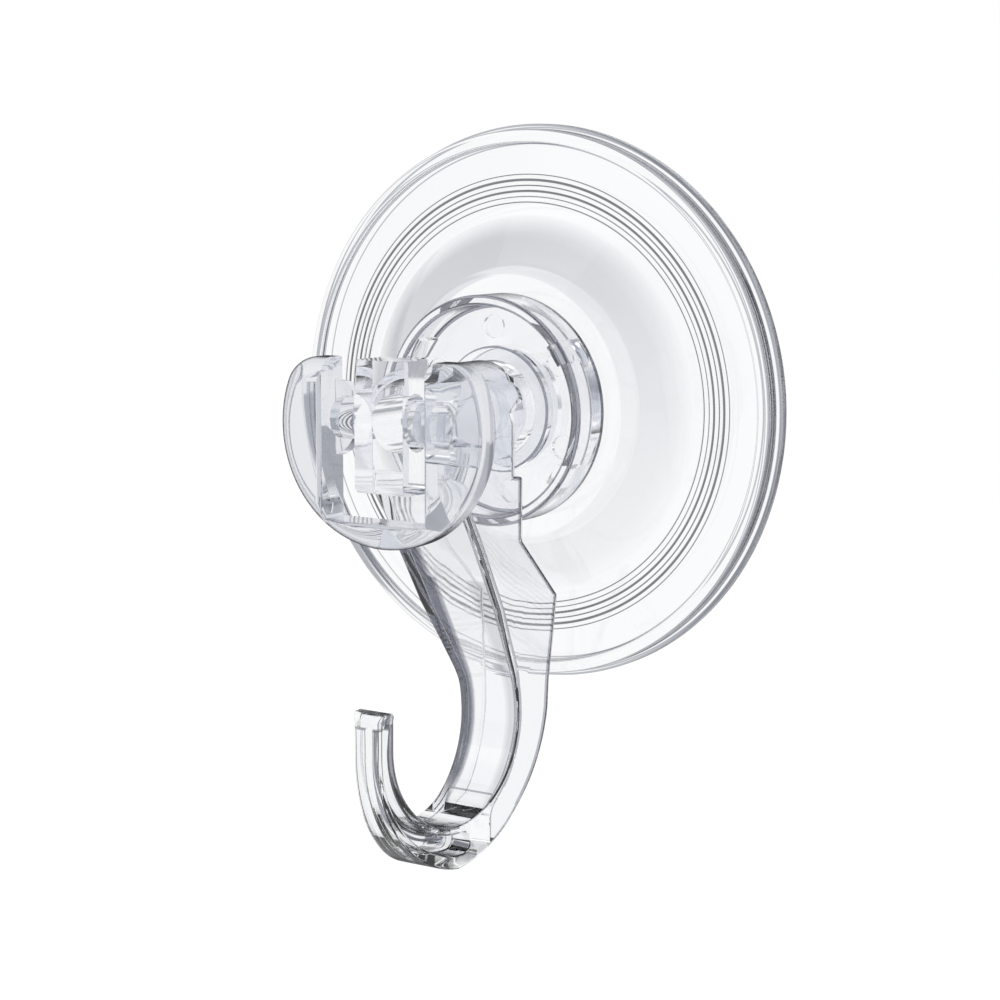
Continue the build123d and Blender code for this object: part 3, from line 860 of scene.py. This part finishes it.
# Hook: the side outline with its arch, channel and pockets, then narrowed towards the tip
hook = {
    "half": 7.6, "channelHalf": 6.2, "webHalf": 2.0, "frontDepth": 32.95, "slantTop": -9.9,
    "crease": (14.3, -41.8), "creaseRadius": 13.0, "throat": (28.0, -46.2),
    "throatRadius": 14.0, "bottom": -66.9, "tipOuter": 45.2, "tipTop": -40.6,
    "tipCorner": 1.1, "shankBack": 6.6, "heel": (5.8, -28.6), "bulge": 5.3,
    "rearSteps": ((16.2, -18.9), (16.2, -9.3), (18.3, -9.3), (18.3, -1.5), (19.1, 0.35)),
    "archRear": 15.8,
    "notches": ((0, 2.2), (0, 3.7), (0.7, 4.4), (0, 5.1), (0, 5.3), (0.7, 6.0), (0, 6.7)),
    "channelMouth": (34.45, -4.36), "channelWall": 1.5, "channelEnd": 20.0,
    "channelCorner": 3.2, "channelShort": 8, "throatWall": 1.3,
    "pocketStart": 27.0, "pocketWall": 2.2, "pocketBulge": 1.5, "flange": 0.95,
    "edge": 0.38, "tightShare": 0.12, "tightDepth": 19.6, "tightHeight": -2.5,
    "weld": 0.03, "thinnest": 0.01,
    "narrowTop": -18.9, "narrowMiddle": -28.6, "narrowLow": -41.8, "middleScale": 0.947,
    "planWidths": ((6.0, 6.2), (14.0, 5.3), (17.0, 5.2), (28.0, 4.4), (45.2, 2.1)),
    "lowScale": 0.93, "heightCuts": (-18.9, -28.6, -35.2, -41.8, -52.0),
    "depthCuts": (14.0, 17.0, 22.5, 28.0, 36.0),
}
# Where the tools end, past the hook
beyond = {
    "behind": -2, "above": 9, "below": -70, "side": 12, "bodyArch": -80, "channelArch": -90,
}


# How much narrower than its top the hook is at a place
def hookScale(co):
    h = hook
    depth, height = -co.y, co.z
    if height >= h["narrowTop"]:
        return 1.0
    if height >= h["narrowMiddle"]:
        share = (h["narrowTop"] - height) / (h["narrowTop"] - h["narrowMiddle"])
        return 1.0 + (h["middleScale"] - 1.0) * share
    widths = h["planWidths"]
    half = widths[0][1]
    for (near, nearHalf), (far, farHalf) in zip(widths, widths[1:]):
        if depth >= near:
            share = min(1.0, (depth - near) / (far - near))
            half = nearHalf + (farHalf - nearHalf) * share
    low = half / h["half"]
    if height >= h["narrowLow"]:
        share = (h["narrowMiddle"] - height) / (h["narrowMiddle"] - h["narrowLow"])
        return h["middleScale"] + (low - h["middleScale"]) * share
    share = (h["narrowLow"] - height) / (h["narrowLow"] - h["bottom"])
    return low * (1.0 + (h["lowScale"] - 1.0) * share)


# The notches at the arch's rear, whose corners are so close that their roundings are small
def inTightSpot(co):
    return -co.y < hook["tightDepth"] and co.z > hook["tightHeight"]


# A tool with a round top, open below, that leaves an arch when a shape meets it
def archTool(half, low):
    return prism(atFront, (half, 0), [(0, 0, 180), (-half, low), (half, low)], -5, 60, "arch")


# The hook from its side, one closed outline with arch, slant, J and heel, under a round top
def hookBody():
    h = hook
    front, rear, half = h["frontDepth"], h["archRear"], h["half"]
    cx, cz = h["throat"]
    slantTop, shankFront = (front, h["slantTop"]), (cx - h["throatRadius"], cz)
    inner, outer, top = cx + h["throatRadius"], h["tipOuter"], h["tipTop"]
    lowest, shankBack = (cx, h["bottom"]), (h["shankBack"], cz)
    body = prism(atSide, (rear, half + 1), [
        (front, half + 1), slantTop,
        *cornerArc(slantTop, h["crease"], shankFront, h["creaseRadius"]),
        shankFront, (cx, cz, 180),
        *cornerArc((inner, cz), (inner, top), (outer, top), h["tipCorner"]),
        *cornerArc((inner, top), (outer, top), (outer, cz), h["tipCorner"]),
        (outer, cz), bulgeArc((outer, cz), lowest, h["bulge"]),
        bulgeArc(lowest, shankBack, h["bulge"]), h["heel"], *h["rearSteps"],
        *[(rear + inward, height) for inward, height in h["notches"]],
    ], -half, half, "clear_hook")
    combine(body, archTool(half, beyond["bodyArch"]), "INTERSECT")
    return body


# The hollow channel: an even wall along the slant, and a rounded end above the throat
def cutChannel(body):
    h = hook
    cx, cz = h["throat"]
    wall, wide, end, mouth = h["channelWall"], h["channelHalf"], h["channelEnd"], h["channelMouth"]
    run, drop = h["frontDepth"] - h["crease"][0], h["slantTop"] - h["crease"][1]
    lean = hypot(run, drop)
    wallLow = (h["crease"][0] - drop / lean * wall, h["crease"][1] + run / lean * wall)
    inside = h["throatRadius"] + h["throatWall"]
    turn = acos((cx - end) / inside)
    endTop = (end, cz - inside * sin(turn))
    back = 5.0  # any length back along the arc's end
    before = (end - back * sin(turn), endTop[1] + back * cos(turn))
    channel = prism(atSide, (beyond["behind"], beyond["above"]), [
        (mouth[0], beyond["above"]), mouth,
        *cornerArc(mouth, wallLow, (cx - inside, cz), h["creaseRadius"] + wall),
        (cx - inside, cz), (cx, cz, degrees(turn) - h["channelShort"]),
        *cornerArc(before, endTop, (end, beyond["below"]), h["channelCorner"]),
        (end, beyond["below"]), (beyond["behind"], beyond["below"]),
    ], -wide, wide, "channel")
    combine(channel, archTool(wide, beyond["channelArch"]), "INTERSECT")
    combine(body, channel, "DIFFERENCE")


# The pockets beside the J's web, between its flanges
def cutPockets(body):
    h = hook
    cx, cz = h["throat"]
    inside, start = h["throatRadius"] + h["throatWall"], h["pocketStart"]
    turn = acos((start - cx) / inside)
    pocketTop = (start, cz - inside * sin(turn))
    pocketLow = (start, h["bottom"] + h["pocketWall"])
    near, far = cx + h["throatRadius"] + h["flange"], h["tipOuter"] - h["flange"]
    end = h["tipTop"] - h["pocketWall"]
    for side in (-1, 1):
        pocket = prism(atSide, pocketTop, [
            (cx, cz, degrees(turn)), (near, end), (far, end), (far, cz),
            bulgeArc((far, cz), pocketLow, h["bulge"]),
            bulgeArc(pocketLow, pocketTop, h["pocketBulge"]),
        ], *sorted((side * h["webHalf"], side * beyond["side"])), "pocket")
        combine(body, pocket, "DIFFERENCE")


def roundHook(body):
    h = hook
    bm = bmesh.new()
    bm.from_mesh(body.data)
    bmesh.ops.remove_doubles(bm, verts=bm.verts[:], dist=h["weld"])
    bmesh.ops.dissolve_degenerate(bm, dist=h["thinnest"], edges=bm.edges[:])
    weights = bm.edges.layers.float.new("bevel_weight_edge")
    for edge in bm.edges:
        if degrees(edge.calc_face_angle(0.0)) > sharpAngle:
            tight = all(inTightSpot(vert.co) for vert in edge.verts)
            edge[weights] = h["tightShare"] if tight else 1.0
    bm.to_mesh(body.data)
    bm.free()
    roundPiece(body, h["edge"], "WEIGHT")


# Cuts the hook's faces where its width changes, and narrows it there
def narrowHook(body):
    bm = bmesh.new()
    bm.from_mesh(body.data)
    cuts = [((0, 0, 1), (0, 0, height)) for height in hook["heightCuts"]]
    cuts += [((0, 1, 0), (0, -depth, 0)) for depth in hook["depthCuts"]]
    for normal, point in cuts:
        bmesh.ops.bisect_plane(
            bm, geom=bm.verts[:] + bm.edges[:] + bm.faces[:], dist=0.001,
            plane_co=point, plane_no=normal,
        )
    for vert in bm.verts:
        vert.co.x *= hookScale(vert.co)
    bm.to_mesh(body.data)
    bm.free()


def makeHook():
    body = hookBody()
    cutChannel(body)
    cutPockets(body)
    roundHook(body)
    narrowHook(body)
    finishPiece(body, "hook", hookClear, "hard_clear", "hook")


makeHook()


# Lever: D-shaped plate with a domed front, window, hub barrels and two cams
lever = {
    "radius": 17.4, "centre": -0.3, "top": 9.3, "corner": 5.0, "back": 38.2, "front": 43.7,
    "dome": 3.4, "domeSegments": 12,
    "windowHalf": 9.0, "windowBottom": -13.7, "windowRound": 0.6, "windowSteps": 8,
    "barrel": 5.4, "barrelWidth": 2.5, "camWidth": 4.5,
    "camLocked": 5.0, "camReleased": 3.0, "camCorner": 1.4, "edge": 0.3,
    # how strong the painted shade on the plate's outer side is, and which faces get it
    "sideShade": 0.15, "sideRadius": 14.5, "sideFlattest": 0.75,
}


# The cam's outline seen from the side, where its reach falls evenly as the lever lifts
def camPoint(angle):
    fall = (lever["camLocked"] - lever["camReleased"]) / radians(90)
    reach = lever["camLocked"] - fall * radians(angle)
    turn = radians(angle)
    return (
        stem["pinDepth"] - reach * cos(turn) - fall * sin(turn),
        stem["pinHeight"] + reach * sin(turn) - fall * cos(turn),
    )


# Painted shade: the plate's outer side and the start of its dome, seen edge on, get a dark tone
# that draws the lever's outline
def leverSideShade(face):
    v = lever
    centre = face.calc_center_median() * 1000
    rim = hypot(centre.x, centre.z - v["centre"]) > v["sideRadius"] or centre.z > v["top"] - 0.3
    if not rim or -centre.y < v["back"] or abs(centre.x) < v["windowHalf"] - 0.1:
        return 0.0
    steep = (v["sideFlattest"] - abs(face.normal.y)) / v["sideFlattest"]
    return max(0.0, min(1.0, steep)) * v["sideShade"]


def leverPlate():
    v = lever
    cz, r, k = v["centre"], v["radius"], v["corner"]
    up = v["top"] - k
    across = ((r - k) ** 2 - (up - cz) ** 2) ** 0.5
    lean = degrees(atan2(up - cz, across))
    piece = prism(atFront, (-across, v["top"]), [
        (across, v["top"]), (across, up, lean - 90), (0, cz, -180 - 2 * lean),
        (-across, up, lean - 90),
    ], v["back"], v["front"], "clear_lever", [
        (lambda co: -co.y > v["front"] - 0.01, v["dome"], v["domeSegments"]),
    ])
    pinCentre = (0, -stem["pinDepth"], stem["pinHeight"])
    width = 2 * (v["windowHalf"] + v["barrelWidth"])
    combine(piece, rod(pinCentre, (1, 0, 0), v["barrel"], width, "barrels"), "UNION")
    return piece


# The window's tool starts as a face behind the lever and widens in steps at the window's
# mouth, so that the mouth is rounded
def cutWindow(piece):
    v = lever
    half, bottom = v["windowHalf"], v["windowBottom"]
    behind, above, past = 30, 30, 2
    steps = []
    for index in range(v["windowSteps"] + 1):
        angle = radians(90 * index / v["windowSteps"])
        steps.append((
            v["front"] - v["windowRound"] * (1 - sin(angle)),
            v["windowRound"] * (1 - cos(angle)),
        ))
    steps.append((v["front"] + past, v["windowRound"]))
    bm = bmesh.new()
    face = bm.faces.new([bm.verts.new((x, -behind, z)) for x, z in (
        (-half, bottom), (half, bottom), (half, above), (-half, above),
    )])
    for index, (depth, grow) in enumerate(steps):
        made = bmesh.ops.extrude_face_region(bm, geom=[face])
        if index:  # the first face stays, as the tool's back
            bmesh.ops.delete(bm, geom=[face], context="FACES_ONLY")
        face = [g for g in made["geom"] if isinstance(g, bmesh.types.BMFace)][0]
        for vert in face.verts:
            vert.co.x = (half + grow) * (1 if vert.co.x > 0 else -1)
            vert.co.y = -depth
            if vert.co.z < 0:
                vert.co.z = bottom - grow
    combine(piece, toObject(bm, "window"), "DIFFERENCE")


def addCams(piece):
    v = lever
    depth, height = stem["pinDepth"], stem["pinHeight"]
    released, corner = v["camReleased"], v["camCorner"]
    near, far = v["windowHalf"] - v["camWidth"], v["windowHalf"] + v["barrelWidth"] / 2
    front = depth - v["camLocked"] + corner
    for side in (-1, 1):
        cam = prism(atSide, camPoint(0), [
            *[camPoint(angle) for angle in range(10, 91, 10)],
            (depth, height + released), (depth, height, -180),
            (front, height - released), (front, height - released + corner, -90),
        ], *sorted((side * near, side * far)), "cam")
        combine(piece, cam, "UNION")


def makeLever():
    piece = leverPlate()
    cutWindow(piece)
    addCams(piece)
    finishPiece(
        piece, "lever", leverClear, "hard_clear", "cam_lever",
        bevel=lever["edge"], sideShade=leverSideShade,
    )


makeLever()
print("pieces made")


# Floor: plain white under the hook. Clear walls and reflections see it as light
floorSettings = {"size": 1.2, "height": -0.12, "colour": (1.0, 1.0, 1.0, 1)}


def makeFloor():
    given = floorSettings
    bm = bmesh.new()
    bmesh.ops.create_grid(
        bm, x_segments=1, y_segments=1, size=given["size"],
        matrix=Matrix.Translation((0, 0, given["height"])),
    )
    mesh = bpy.data.meshes.new("floor")
    bm.to_mesh(mesh)
    bm.free()
    floor = bpy.data.objects.new("floor", mesh)
    scene.collection.objects.link(floor)
    material = bpy.data.materials.new("floor")
    material.use_nodes = True
    shader = material.node_tree.nodes["Principled BSDF"]
    shader.inputs["Base Color"].default_value = given["colour"]
    shader.inputs["Roughness"].default_value = 1.0
    shader.inputs["Specular IOR Level"].default_value = 0.0
    nodes, links = material.node_tree.nodes, material.node_tree.links
    path = nodes.new("ShaderNodeLightPath").outputs
    seenIn = maths(nodes, links, "MAXIMUM", path["Is Glossy Ray"], path["Is Transmission Ray"])
    white = nodes.new("ShaderNodeEmission")
    surface = mixShaders(nodes, links, seenIn, shader.outputs[0], white.outputs[0])
    links.new(surface, nodes["Material Output"].inputs["Surface"])
    mesh.materials.append(material)


makeFloor()


# Lamps: two large soft panels above and beside the hook
lamps = (
    {"name": "keyLamp", "place": (-0.5, -0.7, 0.7), "size": 0.8, "power": 1.0},
    {"name": "fillLamp", "place": (0.8, -0.5, 0.4), "size": 0.8, "power": 0.5},
)


def makeLamps():
    for given in lamps:
        data = bpy.data.lights.new(given["name"], "AREA")
        data.shape = "SQUARE"
        data.size = given["size"]
        data.energy = given["power"]
        lamp = bpy.data.objects.new(given["name"], data)
        scene.collection.objects.link(lamp)
        place = Vector(given["place"])
        lamp.location = place
        lamp.rotation_euler = (-place).to_track_quat("-Z", "Y").to_euler()


makeLamps()
print("floor and lamps made")
